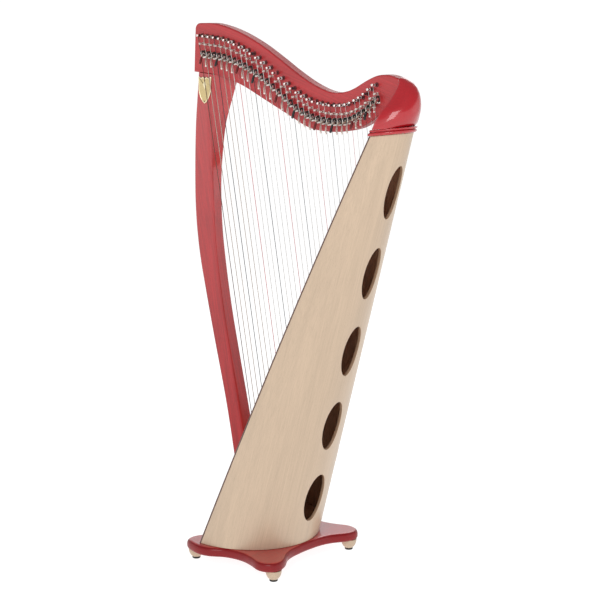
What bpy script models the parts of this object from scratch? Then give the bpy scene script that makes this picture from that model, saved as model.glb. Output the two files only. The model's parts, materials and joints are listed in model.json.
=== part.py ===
"""A floor-standing lever harp with 34 strings, as an assembly of separate named pieces.

Frame: +Z up, floor at z = 0. +X runs from the column (front) to the soundbox (player's side), and the
strings lie in the plane y = 0. The levers and the free ends of the pins are on the -Y side. The origin
is the middle of the whole harp's footprint box, on the floor.

Inside this file x is counted from the middle of the base plate. The empty HARP carries every piece and
moves them all so that the origin lands in the middle of the box. All lengths are metres.
"""

import math

import bpy
import numpy as np
from mathutils import Matrix, Vector

# ---------------------------------------------------------------- driving dimensions
MIDDLE_X = 0.0808            # middle of the whole harp's box, from the middle of the base plate
GAP = 0.0003                 # clearance between pieces that touch
GLUE_GAP = 0.0010            # clearance of the inner woodwork to the curved shell

STRING_COUNT = 34
SEMITONE = 1 - 2 ** (-1 / 12)

PAD_HEIGHT = 0.005           # feet and base
CUP_TOP = 0.029
PLATE_TOP = 0.0527
REAR_FOOT = (0.133, 0.150)
FRONT_FOOT = (-0.128, 0.160)

BOX_TOP = 1.1205             # soundbox
BOARD_FOOT_X = -0.0921       # back face of the soundboard where it meets the plate
BOARD_SLOPE = 0.4197         # metres back for each metre up
HALF_WIDTHS = (0.180, 0.131, 0.057)      # at the foot, halfway up and at the top
DEPTHS = (0.198, 0.128, 0.069)
WALL = 0.0085
BOARD_THICKNESS = 0.0045
TOP_TILT = 0.113             # rise of the box's top edge for each metre back
SHELL_SIDES = 18
HOLE_COUNT = 5
FIRST_HOLE_Z = 0.181
LAST_HOLE_Z = 0.985
HOLE_HALF_LENGTH = 0.068
HOLE_HALF_WIDTHS = (0.034, 0.0235)       # lowest and highest hole

NECK_NEAR_Y = 0.012          # neck
NECK_FAR_Y = 0.044
NECK_EDGE = 0.0025           # rounding of its long edges
BEYOND_NECK = 0.018          # by which the tuning pins' square ends stand out of its far side

FIRST_STRING_Z = 0.1815      # where the longest and the shortest string leave the soundboard
LAST_STRING_Z = 1.0875
STRIP_ENDS_Z = (0.165, 1.1135)           # the strip on the soundboard's front
STRIP_HALF_WIDTH = 0.013
STRIP_THICKNESS = 0.005
STRING_RADII = (0.0009, 0.0004)
TUNING_PIN_RADIUS = 0.0024
BRIDGE_PIN_RADIUS = 0.0017
PIN_TIP_Y = -0.009
BRIDGE_PIN_TIP_Y = -0.0035
BRIDGE_PIN_END_Y = 0.031
PIN_SPINE_HALF = 0.0012      # the slim bars inside the neck that join the pins
BRIDGE_SPINE_HALF = 0.0010
BRIDGE_DROP = 0.021          # from a tuning pin to its bridge pin, along the string

# string number, x and z of the tuning pin
PIN_ROW = (
    (0, -0.251, 1.340), (5, -0.159, 1.330), (10, -0.069, 1.298), (14, 0.008, 1.253), (17, 0.065, 1.217),
    (21, 0.136, 1.188), (26, 0.222, 1.183), (30, 0.279, 1.204), (33, 0.320, 1.235),
)

# x and z along the neck's upper and lower edges, from the column to the shoulder
NECK_UPPER = (
    (-0.262, 1.3710), (-0.205, 1.3705), (-0.136, 1.355), (-0.063, 1.327), (0.003, 1.2925), (0.067, 1.256),
    (0.130, 1.226), (0.186, 1.2115), (0.236, 1.2185), (0.290, 1.245), (0.322, 1.257), (0.355, 1.2585),
    (0.384, 1.2515),
)
NECK_LOWER = (
    (-0.284, 1.246), (-0.200, 1.239), (-0.121, 1.219), (-0.038, 1.184), (0.043, 1.149), (0.108, 1.122),
    (0.161, 1.116), (0.213, 1.118), (0.264, 1.129), (0.305, 1.149), (0.340, 1.173), (0.3735, 1.183),
)
NECK_CORNER_RADIUS = 0.016

# the shoulder cap, by height: front x, near y, far y and rearmost x
CAP_SHAPE = (
    (1.137, 0.3640, -0.0640, 0.0640, 0.4310), (1.152, 0.3700, -0.0625, 0.0627, 0.4375),
    (1.166, 0.3755, -0.0570, 0.0588, 0.4422), (1.181, 0.3805, -0.0480, 0.0550, 0.4455),
    (1.200, 0.3855, -0.0290, 0.0500, 0.4440), (1.218, 0.3880, -0.0130, 0.0475, 0.4370),
    (1.232, 0.3885, -0.0010, 0.0460, 0.4260), (1.243, 0.3870, 0.0080, 0.0450, 0.4120),
    (1.2515, 0.3850, 0.0140, 0.0425, 0.3940),
)

# column: x of its front and rear edges on the far side, by height
COLUMN_FRONT = (
    (1.270, -0.2655), (1.200, -0.2720), (1.122, -0.2780), (1.044, -0.2800), (0.960, -0.2795),
    (0.885, -0.2762), (0.819, -0.2685), (0.754, -0.2565), (0.654, -0.2312), (0.570, -0.2092),
    (0.385, -0.1583), (0.239, -0.1250), (0.040, -0.0794),
)
COLUMN_REAR = (
    (1.270, -0.1080), (1.220, -0.1500), (1.165, -0.1790), (1.122, -0.1920), (1.019, -0.2065),
    (0.939, -0.2105), (0.876, -0.2075), (0.807, -0.2025), (0.657, -0.1775), (0.543, -0.1515),
    (0.352, -0.1040), (0.146, -0.0550), (0.040, -0.0300),
)
# x by which the near rear edge stays in front of the far one, by height
COLUMN_SPLAY = ((1.270, 0.060), (1.165, 0.055), (1.122, 0.038), (1.019, 0.015), (0.900, 0.0), (0.040, 0.0))
COLUMN_NEAR_FOOT_Y = -0.0243
COLUMN_NEAR_TOP_Y = 0.0118
COLUMN_THICKNESS_FOOT = 0.046
COLUMN_TOP_Z = 1.246
COLUMN_END_Z = 1.262         # inside the neck, before the neck's shape is cut out
COLUMN_CUT = 0.005           # its cut off corners

# half of the base plate's outline, front to back, on the far side
PLATE_OUTLINE = (
    (-0.104, 0.000), (-0.112, 0.060), (-0.130, 0.104), (-0.147, 0.134), (-0.152, 0.158), (-0.142, 0.180),
    (-0.114, 0.193), (-0.080, 0.1985), (-0.050, 0.191), (-0.020, 0.173), (0.012, 0.1645), (0.045, 0.165),
    (0.078, 0.174), (0.105, 0.184), (0.131, 0.1815), (0.151, 0.165), (0.155, 0.145), (0.146, 0.118),
    (0.127, 0.088), (0.116, 0.050), (0.113, 0.000),
)
# height on the base plate's edge and how far it lies inside the outline
PLATE_EDGE = ((CUP_TOP + GAP, 0.0040), (0.0325, 0.001), (0.037, 0.0), (0.0445, 0.0005), (0.049, 0.0025),
              (0.0515, 0.006), (PLATE_TOP, 0.0105))

# ---------------------------------------------------------------- materials
FINISHES = {
    "red_lacquer": ((0.42, 0.030, 0.040), 0.28, 0.0),
    "maple": ((0.72, 0.57, 0.40), 0.40, 0.0),
    "spruce": ((0.70, 0.52, 0.32), 0.45, 0.0),
    "dark_wood": ((0.20, 0.09, 0.05), 0.55, 0.0),
    "steel": ((0.62, 0.62, 0.64), 0.25, 1.0),
    "lever_metal": ((0.50, 0.50, 0.50), 0.30, 1.0),
    "gilt": ((0.80, 0.62, 0.28), 0.30, 1.0),
    "string": ((0.80, 0.78, 0.72), 0.35, 0.0),
    "rubber": ((0.02, 0.02, 0.02), 0.80, 0.0),
}


def finish(name):
    """The Principled material of that name, made once."""
    if name in bpy.data.materials:
        return bpy.data.materials[name]
    colour, roughness, metallic = FINISHES[name]
    made = bpy.data.materials.new(name)
    made.use_nodes = True
    shader = made.node_tree.nodes["Principled BSDF"]
    shader.inputs["Base Color"].default_value = (*colour, 1.0)
    shader.inputs["Roughness"].default_value = roughness
    shader.inputs["Metallic"].default_value = metallic
    made.diffuse_color = (*colour, 1.0)
    return made


# ---------------------------------------------------------------- curves
def smooth_line(points, steps=4):
    """A rounded line through the given points, with steps pieces between neighbours."""
    knots = [Vector(p) for p in points]
    ends = [2 * knots[0] - knots[1]] + knots + [2 * knots[-1] - knots[-2]]
    line = []
    for before, start, end, after in zip(ends, ends[1:], ends[2:], ends[3:]):
        span = (end - start).length
        leave = (end - before) * span / ((start - before).length + span)
        arrive = (after - start) * span / ((after - end).length + span)
        for step in range(steps):
            t = step / steps
            line.append(
                start * (2 * t**3 - 3 * t**2 + 1) + leave * (t**3 - 2 * t**2 + t)
                + end * (3 * t**2 - 2 * t**3) + arrive * (t**3 - t**2)
            )
    line.append(knots[-1])
    return line


def read_curve(points, at):
    """Value of a rounded curve at one place. Each point is (place, value, value, ...)."""
    line = smooth_line(points, steps=8)
    if line[0][0] > line[-1][0]:
        line.reverse()
    places = [p[0] for p in line]
    return [float(np.interp(at, places, [p[i] for p in line])) for i in range(1, len(points[0]))]


def three_point(values, t):
    """Parabola through the values at t = 0, 0.5 and 1."""
    low, middle, high = values
    return low * (1 - t) * (1 - 2 * t) + middle * 4 * t * (1 - t) + high * t * (2 * t - 1)


def inset(outline, distance):
    """A closed (a, b) outline moved inwards by a distance. It runs counter-clockwise."""
    moved = []
    for before, here, after in zip(outline[-1:] + outline[:-1], outline, outline[1:] + outline[:1]):
        along = (Vector(here) - Vector(before)).normalized() + (Vector(after) - Vector(here)).normalized()
        along.normalize()
        moved.append((here[0] - along[1] * distance, here[1] + along[0] * distance))
    return moved


# ---------------------------------------------------------------- mesh helpers
def add_object(name, vertices, faces, finish_name, smooth_degrees=35):
    """A mesh object carried by the harp's empty, with its faces pointing out."""
    mesh = bpy.data.meshes.new(name)
    mesh.from_pydata([tuple(v) for v in vertices], [], faces)
    mesh.validate()
    piece = bpy.data.objects.new(name, mesh)
    bpy.context.scene.collection.objects.link(piece)
    piece.parent = HARP
    mesh.materials.append(finish(finish_name))
    mesh.shade_smooth()
    mesh.set_sharp_from_angle(angle=math.radians(smooth_degrees))
    return piece


def signed_volume(vertices, faces):
    total = 0.0
    for face in faces:
        first = Vector(vertices[face[0]])
        for second, third in zip(face[1:], face[2:]):
            total += first.dot(Vector(vertices[second]).cross(Vector(vertices[third])))
    return total


def loft_mesh(rings, start=0):
    """Vertices and faces of a closed body through rings of equally many points."""
    size = len(rings[0])
    vertices = [tuple(point) for ring in rings for point in ring]
    faces = []
    for level in range(len(rings) - 1):
        for i in range(size):
            j = (i + 1) % size
            low, high = level * size, (level + 1) * size
            faces.append((low + i, low + j, high + j, high + i))
    faces.append(tuple(reversed(range(size))))
    faces.append(tuple(range((len(rings) - 1) * size, len(rings) * size)))
    if signed_volume(vertices, faces) < 0:
        faces = [tuple(reversed(face)) for face in faces]
    return vertices, [tuple(index + start for index in face) for face in faces]


def loft(name, rings, finish_name, smooth_degrees=35):
    return add_object(name, *loft_mesh(rings), finish_name, smooth_degrees)


def group(name, ring_lists, finish_name):
    """Several separate lofts in one object, to be joined to or cut from another one."""
    vertices, faces = [], []
    for rings in ring_lists:
        more_vertices, more_faces = loft_mesh(rings, start=len(vertices))
        vertices += more_vertices
        faces += more_faces
    return add_object(name, vertices, faces, finish_name)


def combine(piece, tool, operation):
    """Boolean with a hidden tool object."""
    modifier = piece.modifiers.new(tool.name, "BOOLEAN")
    modifier.operation = operation
    modifier.solver = "EXACT"
    modifier.object = tool
    tool.hide_render = True
    tool.display_type = "WIRE"


def circle(centre, radius, sides, first, second, turn=0.0):
    """Points of a circle in the plane of two directions."""
    angles = [turn + 2 * math.pi * i / sides for i in range(sides)]
    return [centre + radius * (math.cos(a) * first + math.sin(a) * second) for a in angles]


X_AXIS, Y_AXIS, Z_AXIS = Vector((1, 0, 0)), Vector((0, 1, 0)), Vector((0, 0, 1))


def cross_pin(point, radius, near_y, far_y, sides=6):
    """Two rings of a pin that runs across the harp at an (x, z) point."""
    x, z = point
    return [circle(Vector((x, y, z)), radius, sides, X_AXIS, Z_AXIS) for y in (near_y, far_y)]


def bar_along(points, half_height, near_y, far_y):
    """Rings of a flat bar that follows (x, z) points, between two y values."""
    rings = []
    for i, (x, z) in enumerate(points):
        low, high = points[max(i - 1, 0)], points[min(i + 1, len(points) - 1)]
        across = Vector((low[1] - high[1], 0, high[0] - low[0])).normalized() * half_height
        centre = Vector((x, 0, z))
        rings.append([
            centre - across + near_y * Y_AXIS, centre + across + near_y * Y_AXIS,
            centre + across + far_y * Y_AXIS, centre - across + far_y * Y_AXIS,
        ])
    return rings


# ---------------------------------------------------------------- feet and base
def turned_foot(name, centre, profile, finish_name, sides=16):
    """A turned piece: profile holds (radius, height) from the bottom up."""
    base = Vector((*centre, 0))
    rings = [circle(base + z * Z_AXIS, radius, sides, X_AXIS, Y_AXIS) for radius, z in profile]
    return loft(name, rings, finish_name, smooth_degrees=50)


def make_feet():
    pad_profile = ((0.0095, 0.0), (0.0105, 0.001), (0.0105, PAD_HEIGHT))
    cup_profile = ((0.0110, PAD_HEIGHT + GAP), (0.0165, 0.012), (0.0198, 0.021), (0.0208, CUP_TOP))
    for end, (x, y) in (("front", FRONT_FOOT), ("rear", REAR_FOOT)):
        for side, sign in (("near", -1), ("far", 1)):
            turned_foot(f"foot_pad_{end}_{side}", (x, sign * y), pad_profile, "rubber")
            turned_foot(f"foot_cup_{end}_{side}", (x, sign * y), cup_profile, "maple")


def make_base_plate():
    half = smooth_line(PLATE_OUTLINE, steps=2)
    outline = [(p[0], -p[1]) for p in half] + [(p[0], p[1]) for p in reversed(half[1:-1])]
    rings = [[Vector((x, y, z)) for x, y in inset(outline, edge)] for z, edge in PLATE_EDGE]
    loft("base_plate", rings, "red_lacquer", smooth_degrees=40)


# ---------------------------------------------------------------- soundbox
def board_x(z):
    """Back face of the soundboard."""
    return BOARD_FOOT_X + BOARD_SLOPE * (z - PLATE_TOP)


def box_fraction(z):
    return (z - PLATE_TOP) / (BOX_TOP - PLATE_TOP)


def half_width(z):
    return three_point(HALF_WIDTHS, box_fraction(z))


def depth(z):
    return three_point(DEPTHS, box_fraction(z))


def box_height(fraction):
    return PLATE_TOP + GAP + fraction * (BOX_TOP - PLATE_TOP - GAP)


def on_slant(height, tilt, x):
    """Height of a sloping cut through the soundbox that passes the soundboard at the given height."""
    return height + tilt * (x - board_x(height))


def back_arc(height, tilt, wall, sides):
    """Points of a sloping cut round the soundbox's back from -Y to +Y, wall inside its outer surface."""
    points = []
    for i in range(sides + 1):
        angle = math.pi * (i / sides - 0.5)
        z = height
        for _ in range(4):
            x = board_x(z) + (depth(z) - wall) * math.cos(angle)
            z = on_slant(height, tilt, x)
        points.append(Vector((x, (half_width(z) - wall) * math.sin(angle), z)))
    return points


def hole_place(number):
    """Centre of a soundhole on the back, its height and its half width."""
    part = number / (HOLE_COUNT - 1)
    z = FIRST_HOLE_Z + part * (LAST_HOLE_Z - FIRST_HOLE_Z)
    width = HOLE_HALF_WIDTHS[0] + part * (HOLE_HALF_WIDTHS[1] - HOLE_HALF_WIDTHS[0])
    return Vector((board_x(z) + depth(z), 0, z)), width


def hole_rings(number, sides=20, reach=0.035):
    centre, width = hole_place(number)
    step = 0.01
    below = Vector((board_x(centre.z - step) + depth(centre.z - step), 0, centre.z - step))
    along = (centre - below).normalized()
    outward = Y_AXIS.cross(along)
    return [
        [centre + side * reach * outward
         + HOLE_HALF_LENGTH * math.cos(2 * math.pi * i / sides) * along
         + width * math.sin(2 * math.pi * i / sides) * Y_AXIS for i in range(sides)]
        for side in (-1, 1)
    ]


def make_shell(levels=7, sides=SHELL_SIDES):
    rings = []
    for level in range(levels):
        part = level / (levels - 1)
        outer = back_arc(box_height(part), TOP_TILT * part, 0.0, sides)
        inner = back_arc(box_height(part), TOP_TILT * part, WALL, sides)
        rings.append(outer + list(reversed(inner)))
    shell = loft("soundbox_shell", rings, "maple", smooth_degrees=25)
    cutter = group("soundhole_cutter", [hole_rings(n) for n in range(HOLE_COUNT)], "maple")
    combine(shell, cutter, "DIFFERENCE")


def strip(name, bottom_z, top_z, section, finish_name, levels=7):
    """A piece that follows the soundboard: section(z) gives its (x, y) corners at a height."""
    rings = []
    for level in range(levels):
        z = bottom_z + (top_z - bottom_z) * level / (levels - 1)
        tilt = TOP_TILT * box_fraction(z)
        rings.append([Vector((x, y, on_slant(z, tilt, x))) for x, y in section(z)])
    return loft(name, rings, finish_name)


def rectangle(x_low, x_high, y_low, y_high):
    return ((x_low, y_low), (x_high, y_low), (x_high, y_high), (x_low, y_high))


def board_front_x(z):
    return board_x(z) - GAP - BOARD_THICKNESS


def make_soundboard():
    def section(z):
        return rectangle(board_front_x(z), board_x(z) - GAP, -half_width(z), half_width(z))

    return strip("soundboard", box_height(0), BOX_TOP, section, "spruce")


def make_inner_woodwork():
    """Rib behind the strings, side liners and the two end blocks, all inside the soundbox."""
    rib_half, rib_depth, liner = 0.014, 0.006, 0.012
    rib_foot, liner_foot, top_end = 0.125, 0.100, 1.080
    bottom_height, top_height = 0.040, 0.030

    def rib(z):
        return rectangle(board_x(z), board_x(z) + rib_depth, -rib_half, rib_half)

    strip("inner_string_rib", rib_foot, top_end, rib, "dark_wood", levels=2)

    def liner_section(side):
        def section(z):
            across = math.sqrt(1 - ((liner + GAP) / (depth(z) - WALL)) ** 2)
            outer = (half_width(z) - WALL) * across - GLUE_GAP
            return rectangle(board_x(z), board_x(z) + liner, side * outer, side * (outer - liner))
        return section

    for side_name, side in (("near", -1), ("far", 1)):
        strip(f"liner_{side_name}", liner_foot, top_end, liner_section(side), "dark_wood", levels=5)

    foot_levels = (box_height(0), PLATE_TOP + bottom_height)
    rings = [back_arc(z, 0.0, WALL + GLUE_GAP, SHELL_SIDES) for z in foot_levels]
    for ring, z in zip(rings, foot_levels):
        ring[0].x = ring[-1].x = board_x(z)
    bottom_block = loft("bottom_block", rings, "dark_wood")

    top_levels = (BOX_TOP - top_height, BOX_TOP - GAP)
    rings = [back_arc(z, TOP_TILT, WALL + GLUE_GAP, SHELL_SIDES) for z in top_levels]
    loft("top_block", rings, "dark_wood")
    return bottom_block


def make_ring_and_cap():
    """The double bead round the top of the soundbox, and the rounded cap above it."""
    # height on the ring, and how far it stands out from the soundbox
    bead = ((0.0003, 0.0035), (0.0020, 0.0055), (0.0050, 0.0060), (0.0068, 0.0035), (0.0085, 0.0050),
            (0.0120, 0.0055), (0.0145, 0.0030))
    sides = 16
    rings = []
    for rise, stand in bead:
        arc = back_arc(BOX_TOP, TOP_TILT, -stand, sides)
        front = board_front_x(BOX_TOP) - stand
        corners = [Vector((front, side * (half_width(BOX_TOP) + stand - 0.001), 0)) for side in (-1, 1)]
        ring = [corners[0]] + arc + [corners[1]]
        rings.append([Vector((p.x, p.y, rise + on_slant(BOX_TOP, TOP_TILT, p.x))) for p in ring])
    loft("shoulder_ring", rings, "red_lacquer", smooth_degrees=50)

    foot = bead[-1][0] + GAP
    second_z = 1.144
    levels = [CAP_SHAPE[0], (second_z, *read_curve(CAP_SHAPE, second_z)), *CAP_SHAPE[1:]]
    rings = []
    for number, (z, front, near, far, rear) in enumerate(levels):
        middle, reach = (near + far) / 2, (far - near) / 2
        ring = []
        for i in range(sides + 1):
            angle = math.pi * (i / sides - 0.5)
            x = front + (rear - front) * math.cos(angle)
            rise = foot + on_slant(BOX_TOP, TOP_TILT, x) if number == 0 else z
            ring.append(Vector((x, middle + reach * math.sin(angle), rise)))
        rings.append(ring)
    loft("shoulder_cap", rings, "red_lacquer", smooth_degrees=50)


# ---------------------------------------------------------------- strings and pins
def tuning_pin(number):
    return tuple(read_curve(PIN_ROW, number))


def string_radius(number):
    part = number / (STRING_COUNT - 1)
    return STRING_RADII[0] + part * (STRING_RADII[1] - STRING_RADII[0])


def string_foot(number):
    """Where a string leaves the soundboard's front face."""
    part = number / (STRING_COUNT - 1)
    z = FIRST_STRING_Z + part * (LAST_STRING_Z - FIRST_STRING_Z)
    return Vector((board_front_x(z), 0, z))


def string_frame(number):
    """Upper end of a string beside its tuning pin, its direction upwards, and the direction across it."""
    foot = string_foot(number)
    x, z = tuning_pin(number)
    across = Vector((z - foot.z, 0, foot.x - x)).normalized()
    top = Vector((x, 0, z)) - across * (TUNING_PIN_RADIUS + string_radius(number) + 2 * GAP)
    up = (top - foot).normalized()
    return top, up, Vector((up.z, 0, -up.x))


def bridge_pin(number):
    top, up, across = string_frame(number)
    centre = top - up * BRIDGE_DROP + across * (BRIDGE_PIN_RADIUS + string_radius(number) + 2 * GAP)
    return centre.x, centre.z


def lever_drop(number):
    """Distance from the bridge pin down to the lever, longer on longer strings."""
    top, _, _ = string_frame(number)
    length = (top - string_foot(number)).length - BRIDGE_DROP
    return min(0.010 + 0.55 * SEMITONE * length, 0.0275)


def make_string_band():
    """The strings with the strip on the soundboard that they come out of."""
    def section(z):
        front = board_front_x(z) - GAP
        return rectangle(front - STRIP_THICKNESS, front, -STRIP_HALF_WIDTH, STRIP_HALF_WIDTH)

    band = strip("strings", *STRIP_ENDS_Z, section, "string", levels=2)
    ring_lists = []
    for number in range(STRING_COUNT):
        top, _, across = string_frame(number)
        start = string_foot(number) - 0.4 * STRIP_THICKNESS * X_AXIS
        ring_lists.append([circle(point, string_radius(number), 5, across, Y_AXIS) for point in (start, top)])
    combine(band, group("string_tool", ring_lists, "string"), "UNION")


def pins_and_spine(names, places, radius, near_y, far_y, spine_half):
    """A slim bar inside the neck, and the pins across it as a second object. names holds both names."""
    middle = (NECK_NEAR_Y + NECK_FAR_Y) / 2
    spine = loft(names[0], bar_along(places, spine_half, middle - spine_half, middle + spine_half), "steel")
    pins = group(names[1], [cross_pin(place, radius, near_y, far_y) for place in places], "steel")
    return spine, pins


def add_pins(neck, name, places, radius, near_y, far_y, spine_half):
    """One row of pins, joined by its bar, with a clearance cut for both in the neck."""
    row, pins = pins_and_spine((name, f"{name}_tool"), places, radius, near_y, far_y, spine_half)
    combine(row, pins, "UNION")
    past_neck = 0.004
    tools = pins_and_spine((f"{name}_spine_clearance", f"{name}_clearance"), places, radius + GAP,
                           near_y - past_neck, far_y + past_neck, spine_half + GAP)
    for tool in tools:
        combine(neck, tool, "DIFFERENCE")


def make_pins(neck):
    add_pins(neck, "tuning_pins", [tuning_pin(n) for n in range(STRING_COUNT)], TUNING_PIN_RADIUS,
             PIN_TIP_Y, NECK_FAR_Y + BEYOND_NECK, PIN_SPINE_HALF)
    add_pins(neck, "bridge_pins", [bridge_pin(n) for n in range(STRING_COUNT)], BRIDGE_PIN_RADIUS,
             BRIDGE_PIN_TIP_Y, BRIDGE_PIN_END_Y, BRIDGE_SPINE_HALF)


# ---------------------------------------------------------------- neck and column
def cap_front(z):
    """The flat front of the cap, where the neck butts against it."""
    return read_curve(CAP_SHAPE, z)[0]


def neck_outline(grow=0.0):
    """(x, z) outline of the neck, counter-clockwise seen from the near side."""
    lower = [tuple(p) for p in smooth_line(NECK_LOWER, steps=3)]
    upper = [tuple(p) for p in reversed(smooth_line(NECK_UPPER, steps=3))]
    bottom, top = lower.pop()[1], upper.pop(0)[1]
    against_cap = [(cap_front(z) - GAP, z) for z in (bottom, 1.195, 1.210, 1.225, 1.240, top)]
    radius, corner = NECK_CORNER_RADIUS, (upper[-1][0], upper[-1][1] - NECK_CORNER_RADIUS)
    arc = [(corner[0] - radius * math.sin(a), corner[1] + radius * math.cos(a))
           for a in (math.radians(d) for d in (22.5, 45, 67.5, 86))]
    outline = lower + against_cap + upper + arc
    return inset(outline, -grow) if grow else outline


def make_neck():
    outline = neck_outline()
    rim = inset(outline, NECK_EDGE)
    levels = ((NECK_NEAR_Y, rim), (NECK_NEAR_Y + NECK_EDGE, outline), (NECK_FAR_Y - NECK_EDGE, outline),
              (NECK_FAR_Y, rim))
    rings = [[Vector((x, y, z)) for x, z in ring] for y, ring in levels]
    return loft("neck", rings, "red_lacquer", smooth_degrees=40)


def column_near_y(z):
    part = min(z / COLUMN_TOP_Z, 1.0)
    return COLUMN_NEAR_FOOT_Y + part * (COLUMN_NEAR_TOP_Y - COLUMN_NEAR_FOOT_Y)


def column_far_y(z):
    part = min(z / COLUMN_TOP_Z, 1.0)
    thickness = COLUMN_THICKNESS_FOOT + part * (NECK_FAR_Y - COLUMN_NEAR_TOP_Y - COLUMN_THICKNESS_FOOT)
    return column_near_y(z) + thickness


def column_section(z):
    """Corners of the column at a height: near front, near rear, far rear, far front, each cut off."""
    front, rear = read_curve(COLUMN_FRONT, z)[0], read_curve(COLUMN_REAR, z)[0]
    splay = read_curve(COLUMN_SPLAY, z)[0]
    near, far, cut = column_near_y(z), column_far_y(z), COLUMN_CUT
    small_cut = 0.6 * cut
    corners = (
        (front, near + cut), (front + cut, near), (rear - splay - small_cut, near),
        (rear - splay, near + small_cut), (rear, far - cut), (rear - cut, far), (front + cut, far),
        (front, far - cut),
    )
    return [Vector((x, y, z)) for x, y in corners]


def make_column(levels=18):
    """The column. Its foot is cut off where the soundboard is, and its head where the neck is."""
    low, high = COLUMN_FRONT[-1][0], COLUMN_END_Z
    heights = [low + (high - low) * level / (levels - 1) for level in range(levels)]
    column = loft("column", [column_section(z) for z in heights], "red_lacquer", smooth_degrees=40)

    reach, side = 0.25, 0.1
    low, high = [(board_front_x(z) - GAP, z) for z in (-0.05, 0.40)]
    behind_wall = [low, (low[0] + reach, low[1]), (high[0] + reach, high[1]), high]
    for name, outline in (("column_foot_tool", behind_wall), ("column_head_tool", neck_outline(GAP))):
        rings = [[Vector((x, y, z)) for x, z in outline] for y in (-side, side)]
        combine(column, loft(name, rings, "red_lacquer"), "DIFFERENCE")
    return column


def make_column_bolt(pieces):
    """The bolt that holds the column's foot against the soundboard and the bottom block."""
    radius, length, sides = 0.004, 0.066, 10
    start = Vector((board_x(0.085) + 0.030, 0, 0.073))
    forward = Vector((-1, 0, BOARD_SLOPE)).normalized()
    second = Y_AXIS.cross(forward)

    def rings(extra):
        ends = (-8 * extra, length + 2 * extra)
        return [circle(start + forward * end, radius + extra, sides, Y_AXIS, second) for end in ends]

    loft("column_bolt", rings(0.0), "steel")
    tool = loft("column_bolt_tool", rings(GAP), "steel")
    for piece in pieces:
        combine(piece, tool, "DIFFERENCE")


def make_badge():
    """A plain shield on the column's head: notched top, pointed foot."""
    width, height, thickness = 0.046, 0.070, 0.0012
    centre_x, top_z = -0.2425, 1.2355
    # right half: part of the width, and drop from the top
    right = (
        (0.0, -0.006), (0.13, -0.001), (0.30, -0.0045), (0.44, 0.0), (0.50, -0.004),
        (0.475, -0.35 * height), (0.47, -0.52 * height), (0.33, -0.78 * height), (0.15, -0.93 * height),
        (0.0, -height),
    )
    half = [(part * width, drop) for part, drop in right]
    outline = half + [(-x, drop) for x, drop in reversed(half[1:-1])]
    rings = []
    for layer in (GAP, GAP + thickness):
        rings.append([
            Vector((centre_x + x, column_near_y(top_z + drop) - layer, top_z + drop)) for x, drop in outline
        ])
    loft("badge", rings, "gilt")


# ---------------------------------------------------------------- levers
BRACKET_NEAR_Y = NECK_NEAR_Y - GAP
LEVER_OFFSET = 0.0055        # from the string to the middle of the lever, towards the shorter strings
LEVER_WIDTH = 0.0030
LEVER_PIVOT_Y = 0.0005
LEVER_LENGTH = 0.030
LEVER_LEAN = math.radians(25)
LEVER_HUB_RADIUS = 0.0044
LEVER_TIP_RADIUS = 0.0020


def lever_place(number):
    """Pivot of a lever, the direction up its string and the direction across it."""
    top, up, across = string_frame(number)
    point = top - up * (BRIDGE_DROP + lever_drop(number)) + across * LEVER_OFFSET
    return point + LEVER_PIVOT_Y * Y_AXIS, up, across


def make_lever_mesh():
    """One lever: a round hub on its pivot and a slim arm that hangs from it, with a round tip."""
    sides, half = 7, 78
    outline = []
    for radius, drop, first, last in ((LEVER_HUB_RADIUS, 0.0, half - 90, 270 - half),
                                      (LEVER_TIP_RADIUS, LEVER_LENGTH, -90 - half, half - 90)):
        for i in range(sides):
            angle = math.radians(first + (last - first) * i / (sides - 1))
            outline.append((radius * math.cos(angle), -drop + radius * math.sin(angle)))
    lean = Matrix.Rotation(-LEVER_LEAN, 4, "X")
    rings = [[lean @ Vector((x, y, z)) for y, z in outline] for x in (-LEVER_WIDTH / 2, LEVER_WIDTH / 2)]
    vertices, faces = loft_mesh(rings)
    mesh = bpy.data.meshes.new("lever")
    mesh.from_pydata([tuple(v) for v in vertices], [], faces)
    mesh.materials.append(finish("lever_metal"))
    mesh.shade_smooth()
    mesh.set_sharp_from_angle(angle=math.radians(40))
    return mesh


def make_levers():
    mesh = make_lever_mesh()
    for number in range(STRING_COUNT):
        pivot, up, across = lever_place(number)
        lever = bpy.data.objects.new(f"lever_{number + 1:02d}", mesh)
        bpy.context.scene.collection.objects.link(lever)
        lever.parent = HARP
        lever.matrix_local = Matrix.Translation(pivot) @ Matrix((across, Y_AXIS, up)).transposed().to_4x4()


def make_brackets():
    """A foot on the neck and an upright ear beside each lever, on one thin rail."""
    plate, ear, half_height, rail_half = 0.0014, 0.0016, 0.0092, 0.0015
    foot_side, ear_side = -0.0040, LEVER_OFFSET + LEVER_WIDTH / 2 + 2 * GAP
    back, front, ear_y = BRACKET_NEAR_Y, BRACKET_NEAR_Y - plate, LEVER_PIVOT_Y - 0.0090
    profile = ((foot_side, back), (ear_side + ear, back), (ear_side + ear, ear_y), (ear_side, ear_y),
               (ear_side, front), (foot_side, front))
    brackets, places = [], []
    for number in range(STRING_COUNT):
        pivot, up, across = lever_place(number)
        centre = pivot - LEVER_PIVOT_Y * Y_AXIS - LEVER_OFFSET * across
        brackets.append([
            [centre + side * half_height * up + a * across + y * Y_AXIS for a, y in profile]
            for side in (-1, 1)
        ])
        places.append((centre.x, centre.z))
    rail = loft("lever_brackets", bar_along(places, rail_half, front + GAP, back - GAP), "lever_metal")
    combine(rail, group("bracket_tool", brackets, "lever_metal"), "UNION")


# ---------------------------------------------------------------- the harp
for old in list(bpy.data.objects):
    bpy.data.objects.remove(old, do_unlink=True)

HARP = bpy.data.objects.new("harp", None)
bpy.context.scene.collection.objects.link(HARP)
HARP.location = (-MIDDLE_X, 0, 0)

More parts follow.
